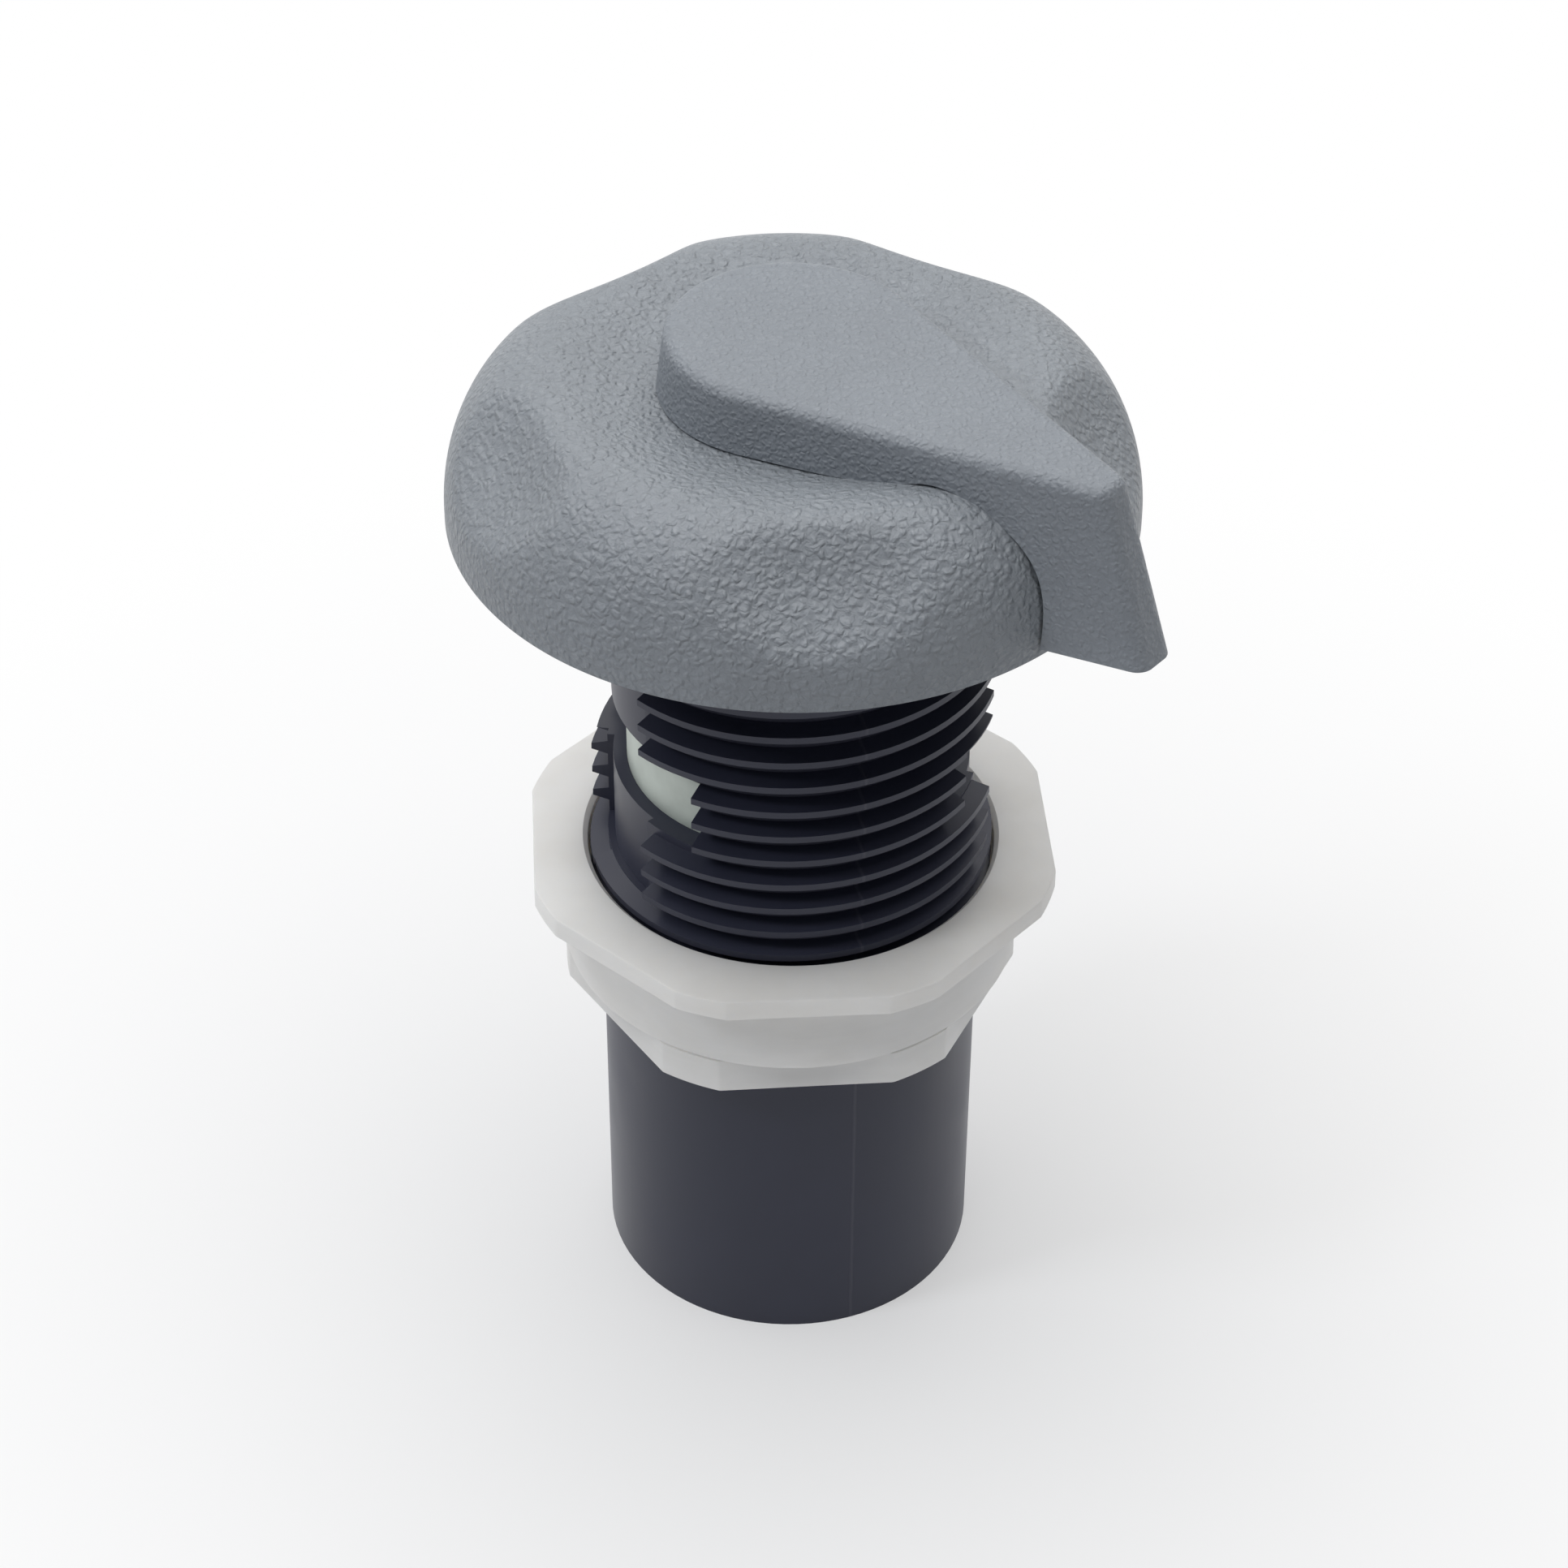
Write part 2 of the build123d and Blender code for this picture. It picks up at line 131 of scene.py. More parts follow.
class PlasticSettings(bpy.types.PropertyGroup):
    """Colours and grain of the other moulded pieces."""
    lever_colour: bpy.props.FloatVectorProperty(
        name="Lever", description="Colour of the lever's plastic", subtype="COLOR", size=3,
        min=0, max=1, default=(0.218, 0.240, 0.270))
    lever_grain: bpy.props.FloatProperty(
        name="Lever grain", description="Width of a grain of the lever's texture",
        default=0.6 * MM, unit="LENGTH")
    body_colour: bpy.props.FloatVectorProperty(
        name="Body", description="Colour of the valve body's plastic", subtype="COLOR", size=3,
        min=0, max=1, default=(0.034, 0.037, 0.060))
    nut_colour: bpy.props.FloatVectorProperty(
        name="Nut", description="Colour of the lock nut's plastic", subtype="COLOR", size=3,
        min=0, max=1, default=(0.88, 0.87, 0.85))
    sleeve_colour: bpy.props.FloatVectorProperty(
        name="Sleeve", description="Colour of the air sleeve's plastic", subtype="COLOR", size=3,
        min=0, max=1, default=(0.62, 0.68, 0.62))
    rubber_colour: bpy.props.FloatVectorProperty(
        name="Seals", description="Colour of the gasket and the O-rings", subtype="COLOR", size=3,
        min=0, max=1, default=(0.02, 0.02, 0.022))
    seam_angle: bpy.props.FloatProperty(
        name="Seam angle", description="Angle of the mould's parting line on the spigot",
        default=math.radians(290), subtype="ANGLE")


class StageSettings(bpy.types.PropertyGroup):
    """Camera, floor and lights."""
    focal_length: bpy.props.FloatProperty(
        name="Focal length", description="Focal length of the camera in millimetres", default=87.65, min=1)
    camera_distance: bpy.props.FloatProperty(
        name="Camera distance", description="Distance of the camera in front of the valve's axis",
        default=374 * MM, unit="LENGTH")
    camera_height: bpy.props.FloatProperty(
        name="Camera height", description="Height of the camera above the floor", default=372 * MM, unit="LENGTH")
    camera_pitch: bpy.props.FloatProperty(
        name="Camera pitch", description="Angle that the camera looks down by",
        default=math.radians(38.7), subtype="ANGLE")
    camera_roll: bpy.props.FloatProperty(
        name="Camera roll", description="Lean of the camera about its view", default=math.radians(0.33),
        subtype="ANGLE")
    camera_side: bpy.props.FloatProperty(
        name="Camera side", description="Distance of the camera to the right of the axis",
        default=-0.9 * MM, unit="LENGTH")
    floor_colour: bpy.props.FloatVectorProperty(
        name="Floor", description="Colour of the floor", subtype="COLOR", size=3,
        min=0, max=1, default=(0.83, 0.835, 0.85))
    key_power: bpy.props.FloatProperty(
        name="Key power", description="Power of the lamp overhead", default=18.5, unit="POWER")
    world_strength: bpy.props.FloatProperty(
        name="Sky", description="Strength of the light from all round", default=0.15, min=0)


# Node helpers

def socket(tree, name, kind, inward, default=None, low=None, high=None):
    """Adds a named socket to a node group's interface."""
    item = tree.interface.new_socket(name=name, in_out="INPUT" if inward else "OUTPUT", socket_type=kind)
    if default is not None:
        item.default_value = default
    if low is not None:
        item.min_value = low
    if high is not None:
        item.max_value = high
    return item


def add(tree, kind, links=None, **values):
    """Adds a node, sets its properties and named or numbered inputs, and links inputs to sockets."""
    node = tree.nodes.new(kind)
    for key, value in values.items():
        setattr(node, key, value)
    for key, value in (links or {}).items():
        entry = node.inputs[key]
        if isinstance(value, bpy.types.NodeSocket):
            tree.links.new(value, entry)
        else:
            entry.default_value = value
    return node


def maths(tree, operation, *values):
    """A Math node on sockets or numbers, and its output."""
    links = {i: v for i, v in enumerate(values)}
    return add(tree, "ShaderNodeMath", links, operation=operation).outputs[0]


def ramp(tree, value, low, high, to_low=0.0, to_high=1.0, smooth=True):
    """A value mapped from one range to another, clamped, with eased ends if smooth."""
    node = add(
        tree, "ShaderNodeMapRange",
        {"Value": value, "From Min": low, "From Max": high, "To Min": to_low, "To Max": to_high},
        interpolation_type="SMOOTHSTEP" if smooth else "LINEAR",
    )
    return node.outputs["Result"]


def noise(tree, vector, scale, detail=2.0, roughness=0.5, distortion=0.0):
    """The value of a noise texture."""
    node = add(
        tree, "ShaderNodeTexNoise",
        {"Vector": vector, "Scale": scale, "Detail": detail, "Roughness": roughness, "Distortion": distortion},
    )
    return node.outputs["Fac"]


def group_frame(name):
    """An empty shader node group with its input and output nodes."""
    tree = bpy.data.node_groups.new(name, "ShaderNodeTree")
    return tree, tree.nodes.new("NodeGroupInput"), tree.nodes.new("NodeGroupOutput")


def leather_grain_group():
    """Coarse leather grain: smooth cells pulled about by noise, with finer wrinkles over them. Height
    is the surface's height from 0 to 1, and Hollows is 1 in the creases."""
    tree, start, end = group_frame("leather_grain")
    socket(tree, "Vector", "NodeSocketVector", True)
    socket(tree, "Grain Width", "NodeSocketFloat", True, 0.00125, 0.0001, 0.01)
    socket(tree, "Wrinkles", "NodeSocketFloat", True, 0.5, 0, 1)
    socket(tree, "Height", "NodeSocketFloat", False)
    socket(tree, "Hollows", "NodeSocketFloat", False)
    vector = start.outputs["Vector"]
    scale = maths(tree, "DIVIDE", 1.0, start.outputs["Grain Width"])
    pull = add(
        tree, "ShaderNodeTexNoise",
        {"Vector": vector, "Scale": maths(tree, "MULTIPLY", scale, 0.8), "Detail": 0.5},
    )
    push = add(tree, "ShaderNodeVectorMath", {0: pull.outputs["Color"], 1: (0.5, 0.5, 0.5)}, operation="SUBTRACT")
    reach = add(
        tree, "ShaderNodeVectorMath",
        {0: push.outputs[0], "Scale": maths(tree, "MULTIPLY", start.outputs["Grain Width"], 1.1)},
        operation="SCALE",
    )
    moved = add(tree, "ShaderNodeVectorMath", {0: vector, 1: reach.outputs[0]}, operation="ADD")
    cells = add(
        tree, "ShaderNodeTexVoronoi",
        {"Vector": moved.outputs[0], "Scale": scale, "Smoothness": 0.55, "Randomness": 1.0},
        feature="SMOOTH_F1",
    )
    domes = ramp(tree, cells.outputs["Distance"], 0.05, 0.75, 1.0, 0.0)
    wrinkle = noise(tree, moved.outputs[0], maths(tree, "MULTIPLY", scale, 1.9), 3.0, 0.55, 0.6)
    crease = ramp(tree, wrinkle, 0.32, 0.68)
    mixed = add(
        tree, "ShaderNodeMix",
        {"Factor": start.outputs["Wrinkles"], "A": domes, "B": crease}, data_type="FLOAT",
    )
    tree.links.new(mixed.outputs["Result"], end.inputs["Height"])
    tree.links.new(ramp(tree, mixed.outputs["Result"], 0.15, 0.55, 1.0, 0.0), end.inputs["Hollows"])
    return tree


def mottle_group():
    """Slow changes over moulded plastic. Cloud is a soft value from 0 to 1 and Flow adds streaks that
    run round the axis as the melt did."""
    tree, start, end = group_frame("mottle")
    socket(tree, "Vector", "NodeSocketVector", True)
    socket(tree, "Size", "NodeSocketFloat", True, 0.02, 0.001, 0.2)
    socket(tree, "Cloud", "NodeSocketFloat", False)
    socket(tree, "Flow", "NodeSocketFloat", False)
    vector = start.outputs["Vector"]
    scale = maths(tree, "DIVIDE", 1.0, start.outputs["Size"])
    cloud = noise(tree, vector, scale, 3.0, 0.55)
    stretched = add(tree, "ShaderNodeVectorMath", {0: vector, 1: (1.0, 1.0, 6.0)}, operation="MULTIPLY")
    flow = noise(tree, stretched.outputs[0], maths(tree, "MULTIPLY", scale, 0.8), 4.0, 0.6, 1.2)
    tree.links.new(ramp(tree, cloud, 0.3, 0.7), end.inputs["Cloud"])
    tree.links.new(ramp(tree, flow, 0.3, 0.7), end.inputs["Flow"])
    return tree


def speck_group():
    """Sparse specks such as dust and mould marks: a mask that is 1 on small round spots, at random in
    a share of the cells of a grid."""
    tree, start, end = group_frame("specks")
    socket(tree, "Vector", "NodeSocketVector", True)
    socket(tree, "Spacing", "NodeSocketFloat", True, 0.006, 0.0005, 0.1)
    socket(tree, "Share", "NodeSocketFloat", True, 0.2, 0, 1)
    socket(tree, "Spot Size", "NodeSocketFloat", True, 0.05, 0.001, 0.5)
    socket(tree, "Mask", "NodeSocketFloat", False)
    cells = add(
        tree, "ShaderNodeTexVoronoi",
        {"Vector": start.outputs["Vector"], "Scale": maths(tree, "DIVIDE", 1.0, start.outputs["Spacing"])},
    )
    pick = add(tree, "ShaderNodeSeparateColor", {"Color": cells.outputs["Color"]})
    chosen = maths(tree, "LESS_THAN", pick.outputs[0], start.outputs["Share"])
    size = maths(tree, "MULTIPLY", start.outputs["Spot Size"], maths(tree, "ADD", pick.outputs[1], 0.3))
    spot = maths(tree, "LESS_THAN", cells.outputs["Distance"], size)
    tree.links.new(maths(tree, "MULTIPLY", chosen, spot), end.inputs["Mask"])
    return tree


def seam_group():
    """A mould's parting line: a thin upright band at an angle about Z. Mask is 1 on the line. The
    distance of a point from the line is its radius times the sine of its angle from the line."""
    tree, start, end = group_frame("seam")
    socket(tree, "Vector", "NodeSocketVector", True)
    socket(tree, "Angle", "NodeSocketFloat", True, 0.0)
    socket(tree, "Width", "NodeSocketFloat", True, 0.0003, 0.00001, 0.01)
    socket(tree, "Mask", "NodeSocketFloat", False)
    place = add(tree, "ShaderNodeSeparateXYZ", {"Vector": start.outputs["Vector"]})
    sine = maths(tree, "SINE", start.outputs["Angle"])
    cosine = maths(tree, "COSINE", start.outputs["Angle"])
    across = maths(
        tree, "SUBTRACT",
        maths(tree, "MULTIPLY", place.outputs["Y"], cosine), maths(tree, "MULTIPLY", place.outputs["X"], sine),
    )
    along = maths(
        tree, "ADD",
        maths(tree, "MULTIPLY", place.outputs["X"], cosine), maths(tree, "MULTIPLY", place.outputs["Y"], sine),
    )
    wobble = maths(tree, "MULTIPLY", maths(tree, "SUBTRACT", noise(tree, start.outputs["Vector"], 300.0), 0.5), 0.0002)
    far = maths(tree, "ABSOLUTE", maths(tree, "ADD", across, wobble))
    band = ramp(tree, far, 0.0, start.outputs["Width"], 1.0, 0.0)
    front = maths(tree, "GREATER_THAN", along, 0.0)
    tree.links.new(maths(tree, "MULTIPLY", band, front), end.inputs["Mask"])
    return tree


GROUPS = {}


def group(name):
    """A shared node group, built the first time that it is asked for."""
    makers = {
        "leather_grain": leather_grain_group,
        "mottle": mottle_group,
        "specks": speck_group,
        "seam": seam_group,
    }
    if name not in GROUPS:
        GROUPS[name] = makers[name]()
    return GROUPS[name]


def place_group(tree, name, links):
    """A node that holds a shared group."""
    node = tree.nodes.new("ShaderNodeGroup")
    node.node_tree = group(name)
    for key, value in links.items():
        if isinstance(value, bpy.types.NodeSocket):
            tree.links.new(value, node.inputs[key])
        else:
            node.inputs[key].default_value = value
    return node


def plastic(name, roughness, specular=0.5, subsurface=0.0, sheen=0.0):
    """A new material with its tree, shader and Object coordinates."""
    material = bpy.data.materials.new(name)
    material.use_nodes = True
    tree = material.node_tree
    shader = tree.nodes["Principled BSDF"]
    shader.inputs["Roughness"].default_value = roughness
    shader.inputs["Specular IOR Level"].default_value = specular
    shader.inputs["Subsurface Weight"].default_value = subsurface
    shader.inputs["Sheen Weight"].default_value = sheen
    coordinates = tree.nodes.new("ShaderNodeTexCoord")
    return material, tree, shader, coordinates.outputs["Object"]


def mix_colours(tree, factor, first, second):
    """Two colours mixed by a factor."""
    node = add(tree, "ShaderNodeMix", data_type="RGBA")
    for key, value in (("Factor", factor), ("A", first), ("B", second)):
        entry = [i for i in node.inputs if i.name == key and i.enabled][0]
        if isinstance(value, bpy.types.NodeSocket):
            tree.links.new(value, entry)
        else:
            entry.default_value = value if isinstance(value, float) else (*value, 1.0)
    return [o for o in node.outputs if o.enabled][0]


def shade(colour, factor):
    """A colour made lighter or darker."""
    return tuple(min(1.0, float(c) * factor) for c in colour)


def bump(tree, shader, height, distance, strength=1.0, under=None):
    """A Bump node into the shader's Normal, or on top of another."""
    links = {"Height": height, "Distance": distance, "Strength": strength}
    if under is not None:
        links["Normal"] = under
    node = add(tree, "ShaderNodeBump", links)
    tree.links.new(node.outputs["Normal"], shader.inputs["Normal"])
    return node.outputs["Normal"]


# Materials

def grained_plastic(name, colour, grain, wrinkles, depth, roughness):
    """Grey moulded plastic with a leather or spark grain: painted shade darkens the hollows, and it is polished a
    little on the heights."""
    material, tree, shader, vector = plastic(name, roughness)
    leather = place_group(tree, "leather_grain", {"Vector": vector, "Grain Width": grain, "Wrinkles": wrinkles})
    mottle = place_group(tree, "mottle", {"Vector": vector, "Size": 0.012})
    specks = place_group(
        tree, "specks", {"Vector": vector, "Spacing": 0.009, "Share": 0.12, "Spot Size": 0.035})
    base = mix_colours(tree, mottle.outputs["Cloud"], shade(colour, 0.96), shade(colour, 1.04))
    # Painted shade: the grain's hollows are darkened towards a darker shade of the colour
    shaded_hollows = mix_colours(tree, maths(tree, "MULTIPLY", leather.outputs["Hollows"], 0.15), base, shade(colour, 0.62))
    spotted = mix_colours(tree, specks.outputs["Mask"], shaded_hollows, shade(colour, 0.25))
    tree.links.new(spotted, shader.inputs["Base Color"])
    rough = ramp(tree, leather.outputs["Height"], 0.2, 0.9, roughness + 0.1, roughness - 0.03)
    tree.links.new(rough, shader.inputs["Roughness"])
    fine = noise(tree, vector, 3200.0, 2.0, 0.6)
    first = bump(tree, shader, leather.outputs["Height"], depth)
    bump(tree, shader, fine, 0.00002, 0.6, first)
    return material


def body_plastic(colour, seam_angle):
    """Blue-black moulded plastic: satin, with cloudy gloss and a parting line."""
    material, tree, shader, vector = plastic("body_plastic", 0.34, specular=0.3)
    mottle = place_group(tree, "mottle", {"Vector": vector, "Size": 0.03})
    seam = place_group(tree, "seam", {"Vector": vector, "Angle": seam_angle, "Width": 0.00035})
    base = mix_colours(tree, mottle.outputs["Cloud"], shade(colour, 0.94), shade(colour, 1.08))
    line = mix_colours(tree, maths(tree, "MULTIPLY", seam.outputs["Mask"], 0.25), base, (0.11, 0.11, 0.14))
    tree.links.new(line, shader.inputs["Base Color"])
    tree.links.new(ramp(tree, mottle.outputs["Cloud"], 0.0, 1.0, 0.31, 0.4), shader.inputs["Roughness"])
    under = bump(tree, shader, noise(tree, vector, 900.0, 3.0, 0.6), 0.00001, 0.4)
    bump(tree, shader, seam.outputs["Mask"], 0.00004, 1.0, under)
    return material


def nut_plastic(colour):
    """Natural white moulded plastic: waxy, faintly streaked, with scuffs from handling."""
    material, tree, shader, vector = plastic("nut_plastic", 0.42, subsurface=0.35)
    shader.inputs["Subsurface Radius"].default_value = (0.008, 0.0074, 0.0066)
    shader.inputs["Subsurface Scale"].default_value = 1.0
    mottle = place_group(tree, "mottle", {"Vector": vector, "Size": 0.014})
    specks = place_group(
        tree, "specks", {"Vector": vector, "Spacing": 0.008, "Share": 0.2, "Spot Size": 0.04})
    base = mix_colours(tree, mottle.outputs["Flow"], shade(colour, 0.985), shade(colour, 1.01))
    warm = mix_colours(tree, maths(tree, "MULTIPLY", mottle.outputs["Cloud"], 0.25), base, (0.70, 0.67, 0.62))
    marked = mix_colours(tree, maths(tree, "MULTIPLY", specks.outputs["Mask"], 0.45), warm, (0.38, 0.36, 0.33))
    tree.links.new(marked, shader.inputs["Base Color"])
    tree.links.new(ramp(tree, mottle.outputs["Cloud"], 0.0, 1.0, 0.36, 0.5), shader.inputs["Roughness"])
    bump(tree, shader, noise(tree, vector, 700.0, 3.0, 0.55), 0.00004, 0.5)
    return material


def sleeve_plastic(colour):
    """Pale greenish plastic with a dull moulded skin."""
    material, tree, shader, vector = plastic("sleeve_plastic", 0.45)
    mottle = place_group(tree, "mottle", {"Vector": vector, "Size": 0.006})
    base = mix_colours(tree, mottle.outputs["Cloud"], shade(colour, 0.9), shade(colour, 1.05))
    tree.links.new(base, shader.inputs["Base Color"])
    bump(tree, shader, noise(tree, vector, 1200.0, 2.0, 0.5), 0.00003, 0.5)
    return material


def rubber(colour):
    """Black seal rubber with a matt skin and a trace of talc."""
    material, tree, shader, vector = plastic("seal_rubber", 0.7, specular=0.3, sheen=0.1)
    mottle = place_group(tree, "mottle", {"Vector": vector, "Size": 0.004})
    base = mix_colours(tree, mottle.outputs["Cloud"], colour, shade(colour, 2.2))
    tree.links.new(base, shader.inputs["Base Color"])
    bump(tree, shader, noise(tree, vector, 1600.0, 3.0, 0.6), 0.00005, 0.6)
    return material


def dress(node, material):
    """Gives a CAD node one material."""
    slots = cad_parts[node].data.materials
    slots.clear()
    slots.append(material)


# Surfaces

def ring_mesh(name, points):
    """A closed ring's mesh from an array of points, rows by columns, joined in quads. Rows go round the
    section, outwards over the top and inwards underneath, and columns go round the axis anticlockwise.
    Both close on themselves."""
    rows, columns = points.shape[:2]
    index = np.arange(rows * columns).reshape(rows, columns)
    below, beside = np.roll(index, -1, axis=0), np.roll(index, -1, axis=1)
    quads = np.stack([index, below, np.roll(below, -1, axis=1), beside], axis=-1).reshape(-1, 4)
    mesh = bpy.data.meshes.new(name)
    mesh.vertices.add(rows * columns)
    mesh.vertices.foreach_set("co", points.reshape(-1).astype(np.float32))
    mesh.loops.add(quads.size)
    mesh.loops.foreach_set("vertex_index", quads.reshape(-1).astype(np.int32))
    mesh.polygons.add(len(quads))
    mesh.polygons.foreach_set("loop_start", (np.arange(len(quads)) * 4).astype(np.int32))
    mesh.polygons.foreach_set("use_smooth", np.ones(len(quads), dtype=bool))
    mesh.update(calc_edges=True)
    mesh.validate()
    return mesh


def piece(name, mesh, body, material):
    """A new object at the origin that rides on a body."""
    item = bpy.data.objects.new(name, mesh)
    bpy.context.scene.collection.objects.link(item)
    item.data.materials.append(material)
    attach(item, body)
    return item


def cover_profile(settings, low, high, inset, count):
    """The dome's profile as radii, heights and outward normals, from the stem's hole out to the foot of
    the edge. The well is flat, a half cosine wave rises from it to the crest, a quarter of an ellipse
    falls from the crest to the top of the edge, and the edge is upright. An inset moves the profile
    inwards by a wall."""
    outer = (high[0] - low[0]) / 2 - inset
    crest_z = high[2] - inset
    shoulder_z = low[2] + settings.edge_height
    well = np.linspace(settings.stem_radius, settings.well_radius, count // 8, endpoint=False)
    rise = np.linspace(0, 1, count // 4, endpoint=False)
    fall = np.linspace(0, math.pi / 2, count // 2)
    drop = np.linspace(0, 1, count // 8)[1:]
    radii = np.concatenate([
        well,
        settings.well_radius + (settings.crest_radius - settings.well_radius) * rise,
        settings.crest_radius + (outer - settings.crest_radius) * np.sin(fall),
        np.full(len(drop), outer),
    ])
    heights = np.concatenate([
        np.full(len(well), crest_z - settings.well_depth),
        crest_z - settings.well_depth * (1 + np.cos(math.pi * rise)) / 2,
        shoulder_z + (crest_z - shoulder_z) * np.cos(fall),
        shoulder_z + (low[2] - shoulder_z) * drop,
    ])
    slope_r, slope_z = np.gradient(radii), np.gradient(heights)
    length = np.hypot(slope_r, slope_z)
    return radii, heights, -slope_z / length, slope_r / length


def scalloped(settings, low, high, inset, columns, count):
    """The dome swept round the axis, with its scallops. Each point moves inwards along its normal by a
    soft maximum of nought and its depth inside the nearest scallop's sphere: half the sum of the depth
    and the root of the depth squared plus the softness squared."""
    radii, heights, normal_r, normal_z = cover_profile(settings, low, high, inset, count)
    turn = np.linspace(0, 2 * math.pi, columns, endpoint=False)[None, :]
    cosine, sine = np.cos(turn), np.sin(turn)
    points = np.stack([radii[:, None] * cosine, radii[:, None] * sine, heights[:, None] + 0 * turn], axis=-1)
    normals = np.stack(
        [normal_r[:, None] * cosine, normal_r[:, None] * sine, normal_z[:, None] + 0 * turn], axis=-1)
    outer, crest_z = (high[0] - low[0]) / 2, high[2]
    shoulder_z = low[2] + settings.edge_height
    up = settings.scallop_elevation
    middle_r = settings.crest_radius + (outer - settings.crest_radius) * math.cos(up)
    middle_z = shoulder_z + (crest_z - shoulder_z) * math.sin(up)
    reach = settings.scallop_radius - settings.scallop_depth
    angles = settings.scallop_first + np.arange(settings.scallop_count) * 2 * math.pi / settings.scallop_count
    centre_r, centre_z = middle_r + reach * math.cos(up), middle_z + reach * math.sin(up)
    centres = np.stack(
        [centre_r * np.cos(angles), centre_r * np.sin(angles), np.full(len(angles), centre_z)], axis=-1)
    away = np.linalg.norm(points[None] - centres[:, None, None, :], axis=-1).min(axis=0)
    depth = settings.scallop_radius + inset - away
    soft = settings.scallop_softness
    sunk = (depth + np.sqrt(depth ** 2 + soft ** 2)) / 2
    edge = np.clip((heights[:, None] - low[2]) / (3 * settings.edge_height), 0, 1)
    inner = np.clip((radii[:, None] - settings.well_radius) / (4 * MM), 0, 1)
    return points - normals * (sunk * edge * inner)[..., None]


def outline_radius(turn, sides, flats, corner, middle):
    """Radius of a regular polygon with its corners cut by a circle: half its width across flats over
    the cosine of the angle from the nearest flat's middle, and the circle's radius at most."""
    step = 2 * math.pi / sides
    off = (turn - middle + step / 2) % step - step / 2
    return np.minimum(flats / 2 / np.cos(off), corner)


def nut_surface(settings, low, high):
    """The nut's section carried round the axis. Each row has one height, and a radius at each angle
    that comes from the plate's octagon, the round skirt, the hexagon or the bore."""
    corners = np.concatenate([
        settings.plate_angle + np.arange(16) * math.pi / 8,
        settings.hexagon_angle + np.arange(12) * math.pi / 6,
    ]) % (2 * math.pi)
    turn = np.unique(np.round(np.concatenate([np.arange(720) * math.pi / 360, corners]), 6))
    plate = outline_radius(turn, 8, settings.plate_flats, settings.plate_corner, settings.plate_angle)
    hexagon = outline_radius(
        turn, 6, settings.hexagon_flats, settings.skirt_radius - 0.05 * MM, settings.hexagon_angle)
    skirt, bore = np.full_like(turn, settings.skirt_radius), np.full_like(turn, settings.bore_radius)
    soft, lead = settings.edge_softness, settings.bore_chamfer
    foot, top = low[2], high[2]
    ledge, seat = foot + settings.hexagon_height, top - settings.plate_thickness
    rows = [
        (bore + lead, top), (plate - soft, top), (plate - soft * 0.3, top - soft * 0.3), (plate, top - soft),
        (plate, seat + soft), (plate - soft, seat), (skirt + soft, seat), (skirt, seat - soft),
        (skirt, ledge + soft), (skirt - soft, ledge), (hexagon - soft * 0.1, ledge - soft * 0.1),
        (hexagon, foot + soft), (hexagon - soft, foot), (bore + lead, foot), (bore, foot + lead),
        (bore, top - lead),
    ]
    return np.stack([
        np.stack([radius * np.cos(turn), radius * np.sin(turn), np.full_like(turn, height)], axis=-1)
        for radius, height in rows])


# Operators

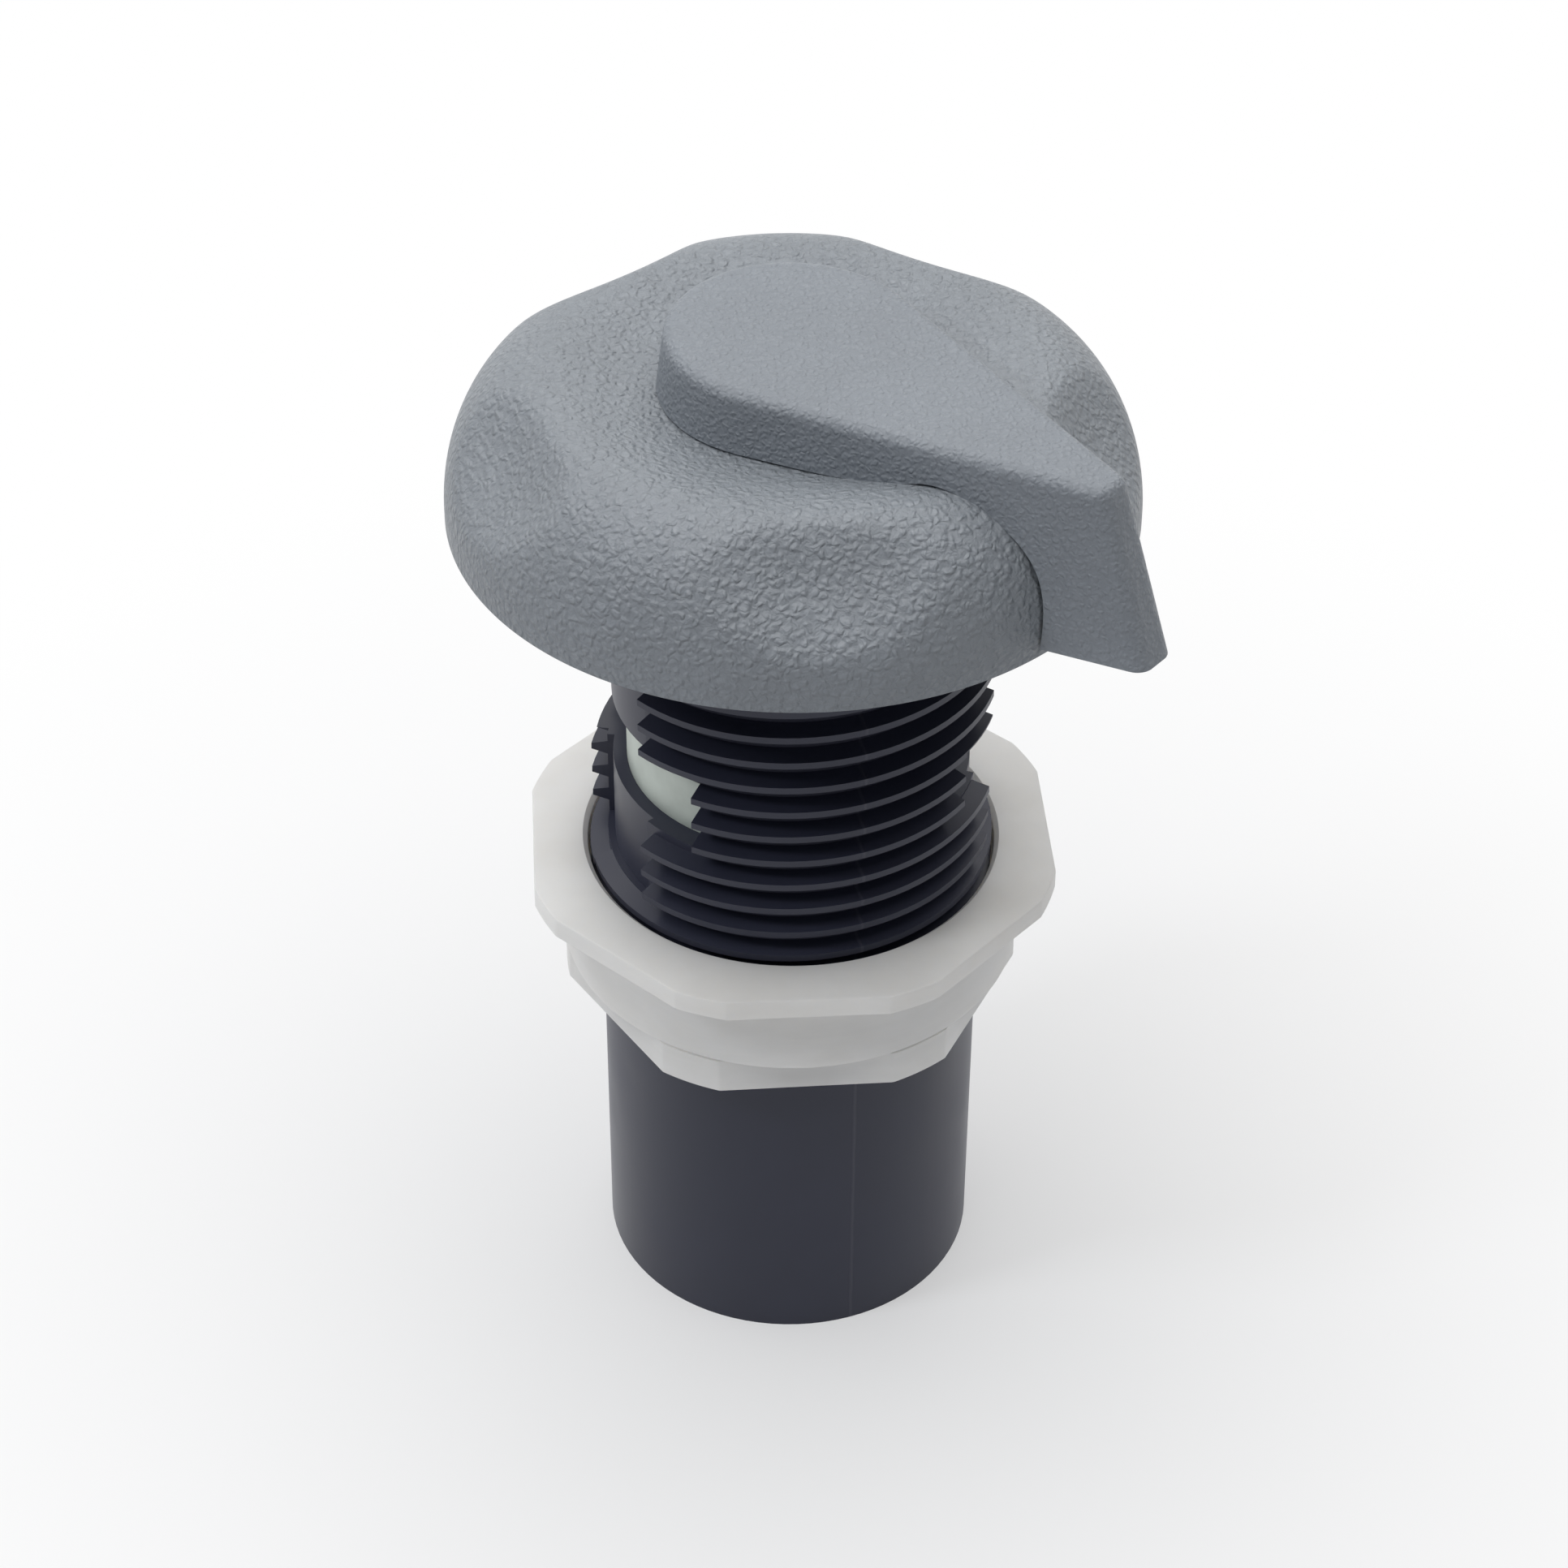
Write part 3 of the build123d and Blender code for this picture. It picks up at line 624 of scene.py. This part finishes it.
class VALVE_OT_stage(bpy.types.Operator):
    """Adds the camera, the floor, the world and the lamps"""
    bl_idname = "valve.stage"
    bl_label = "Stage"

    def execute(self, context):
        settings = context.scene.valve_stage
        scene = context.scene
        scene.view_settings.view_transform = "Standard"
        data = bpy.data.cameras.new("camera")
        data.lens = settings.focal_length
        data.sensor_width = 36
        camera = bpy.data.objects.new("camera", data)
        scene.collection.objects.link(camera)
        turn = Matrix.Rotation(math.pi / 2 - settings.camera_pitch, 4, "X")
        roll = Matrix.Rotation(settings.camera_roll, 4, "Z")
        place = Matrix.Translation((settings.camera_side, -settings.camera_distance, settings.camera_height))
        camera.matrix_world = place @ turn @ roll
        scene.camera = camera
        self.add_floor(scene, settings)
        self.add_world(scene, settings)
        self.add_lamp(scene, "key", (-0.08, 0.2, 1.08), 1.8, settings.key_power, (1.0, 0.99, 0.97))
        self.add_lamp(scene, "side", (-0.80, -0.31, 0.85), 0.22, settings.key_power * 0.12, (0.93, 0.96, 1.0))
        return {"FINISHED"}

    def add_floor(self, scene, settings):
        """A flat floor that is lit near the valve and plain white further off."""
        reach = 3.0
        mesh = bpy.data.meshes.new("floor")
        mesh.from_pydata(
            [(-reach, -reach, 0), (reach, -reach, 0), (reach, reach, 0), (-reach, reach, 0)], [], [(0, 1, 2, 3)])
        floor = bpy.data.objects.new("floor", mesh)
        scene.collection.objects.link(floor)
        material = bpy.data.materials.new("floor")
        material.use_nodes = True
        tree = material.node_tree
        shader = tree.nodes["Principled BSDF"]
        shader.inputs["Roughness"].default_value = 0.9
        shader.inputs["Specular IOR Level"].default_value = 0.1
        white = add(tree, "ShaderNodeEmission", {"Color": (1, 1, 1, 1), "Strength": 1.0})
        place = add(tree, "ShaderNodeTexCoord").outputs["Object"]
        away = add(tree, "ShaderNodeVectorMath", {0: place}, operation="LENGTH").outputs["Value"]
        rays = tree.nodes.new("ShaderNodeLightPath")
        seen = maths(tree, "MAXIMUM", rays.outputs["Is Camera Ray"], rays.outputs["Is Glossy Ray"])
        seen = maths(tree, "MAXIMUM", seen, rays.outputs["Is Transmission Ray"])
        bare = shade(settings.floor_colour, 0.88)
        tree.links.new(mix_colours(tree, seen, bare, tuple(settings.floor_colour)), shader.inputs["Base Color"])
        factor = maths(tree, "MULTIPLY", ramp(tree, away, 0.03, 0.2, 0.35, 1.0), seen)
        mixed = add(
            tree, "ShaderNodeMixShader", {0: factor, 1: shader.outputs[0], 2: white.outputs[0]})
        tree.links.new(mixed.outputs[0], tree.nodes["Material Output"].inputs["Surface"])
        mesh.materials.append(material)

    def add_world(self, scene, settings):
        """An even soft sky, which the camera and mirrors see as white."""
        world = bpy.data.worlds.new("studio")
        world.use_nodes = True
        tree = world.node_tree
        sky = tree.nodes["Background"]
        sky.inputs["Color"].default_value = (0.93, 0.96, 1.0, 1)
        sky.inputs["Strength"].default_value = settings.world_strength
        white = add(tree, "ShaderNodeBackground", {"Color": (1, 1, 1, 1), "Strength": 1.0})
        rays = tree.nodes.new("ShaderNodeLightPath")
        seen = maths(tree, "MAXIMUM", rays.outputs["Is Camera Ray"], rays.outputs["Is Glossy Ray"])
        seen = maths(tree, "MAXIMUM", seen, rays.outputs["Is Transmission Ray"])
        mixed = add(tree, "ShaderNodeMixShader", {0: seen, 1: sky.outputs[0], 2: white.outputs[0]})
        tree.links.new(mixed.outputs[0], tree.nodes["World Output"].inputs["Surface"])
        scene.world = world

    def add_lamp(self, scene, name, place, size, power, colour):
        """A soft square lamp that looks at the valve."""
        data = bpy.data.lights.new(name, "AREA")
        data.size = size
        data.energy = power
        data.color = colour
        lamp = bpy.data.objects.new(name, data)
        scene.collection.objects.link(lamp)
        aim = Matrix.Translation(place).translation
        target = Matrix.Translation((0, 0, 0.08)).translation
        lamp.location = aim
        lamp.rotation_euler = (target - aim).to_track_quat("-Z", "Y").to_euler()


class VALVE_OT_cover(bpy.types.Operator):
    """Builds the scalloped cover with soft-rimmed scallops and a leather grain"""
    bl_idname = "valve.cover"
    bl_label = "Cover"

    def execute(self, context):
        settings = context.scene.valve_cover
        low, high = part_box("escutcheon_cover")
        top = scalloped(settings, low, high, 0.0, 480, 120)
        under = scalloped(settings, low, high, settings.wall, 480, 60)
        mesh = ring_mesh("cover_shell", np.concatenate([top, under[::-1]]))
        material = grained_plastic("cover_plastic", settings.colour, settings.grain, 0.2, 0.00028, 0.34)
        shell = piece("cover_shell", mesh, "housing", material)
        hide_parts("escutcheon_cover")
        dress("escutcheon_cover", material)
        return {"FINISHED"}


class VALVE_OT_lever(bpy.types.Operator):
    """Gives the lever its fine grained plastic"""
    bl_idname = "valve.lever"
    bl_label = "Lever"

    def execute(self, context):
        settings = context.scene.valve_plastics
        dress("lever", grained_plastic(
            "lever_plastic", settings.lever_colour, settings.lever_grain, 0.2, 0.00014, 0.4))
        return {"FINISHED"}


class VALVE_OT_body(bpy.types.Operator):
    """Gives the valve body its blue-black plastic and the seals their rubber"""
    bl_idname = "valve.body"
    bl_label = "Body and seals"

    def execute(self, context):
        settings = context.scene.valve_plastics
        dress("valve_body", body_plastic(settings.body_colour, settings.seam_angle))
        seal = rubber(settings.rubber_colour)
        for node in ("flange_gasket", "lower_o_ring", "upper_o_ring"):
            dress(node, seal)
        return {"FINISHED"}


class VALVE_OT_nut(bpy.types.Operator):
    """Builds the lock nut with softened edges and gives it its waxy white plastic"""
    bl_idname = "valve.nut"
    bl_label = "Lock nut"

    def execute(self, context):
        low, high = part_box("lock_nut")
        mesh = ring_mesh("nut_shell", nut_surface(context.scene.valve_nut, low, high))
        mesh.set_sharp_from_angle(angle=math.radians(30))
        material = nut_plastic(context.scene.valve_plastics.nut_colour)
        shell = piece("nut_shell", mesh, "nut", material)
        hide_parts("lock_nut")
        dress("lock_nut", material)
        return {"FINISHED"}


class VALVE_OT_sleeve(bpy.types.Operator):
    """Gives the ported sleeve its pale plastic"""
    bl_idname = "valve.sleeve"
    bl_label = "Air sleeve"

    def execute(self, context):
        dress("air_sleeve", sleeve_plastic(context.scene.valve_plastics.sleeve_colour))
        return {"FINISHED"}


class VALVE_PT_panel(bpy.types.Panel):
    """Lists the valve's operators and settings"""
    bl_idname = "VALVE_PT_panel"
    bl_label = "Air control valve"
    bl_space_type = "VIEW_3D"
    bl_region_type = "UI"
    bl_category = "Valve"

    def draw(self, context):
        layout = self.layout
        for name in OPERATIONS:
            layout.operator(f"valve.{name}")
        scene = context.scene
        for holder in (scene.valve_cover, scene.valve_nut, scene.valve_plastics, scene.valve_stage):
            box = layout.box()
            for key in holder.bl_rna.properties.keys():
                if key not in {"rna_type", "name"}:
                    box.prop(holder, key)


OPERATIONS = ("stage", "body", "sleeve", "cover", "lever", "nut")
CLASSES = (
    CoverSettings, NutSettings, PlasticSettings, StageSettings, VALVE_OT_stage, VALVE_OT_body, VALVE_OT_sleeve,
    VALVE_OT_cover, VALVE_OT_lever, VALVE_OT_nut, VALVE_PT_panel,
)


def register():
    for item in CLASSES:
        bpy.utils.register_class(item)
    bpy.types.Scene.valve_cover = bpy.props.PointerProperty(type=CoverSettings)
    bpy.types.Scene.valve_nut = bpy.props.PointerProperty(type=NutSettings)
    bpy.types.Scene.valve_plastics = bpy.props.PointerProperty(type=PlasticSettings)
    bpy.types.Scene.valve_stage = bpy.props.PointerProperty(type=StageSettings)


def unregister():
    del bpy.types.Scene.valve_stage
    del bpy.types.Scene.valve_plastics
    del bpy.types.Scene.valve_nut
    del bpy.types.Scene.valve_cover
    for item in reversed(CLASSES):
        bpy.utils.unregister_class(item)


def main():
    register()
    for name in OPERATIONS:
        getattr(bpy.ops.valve, name)()


if __name__ == "__main__":
    main()
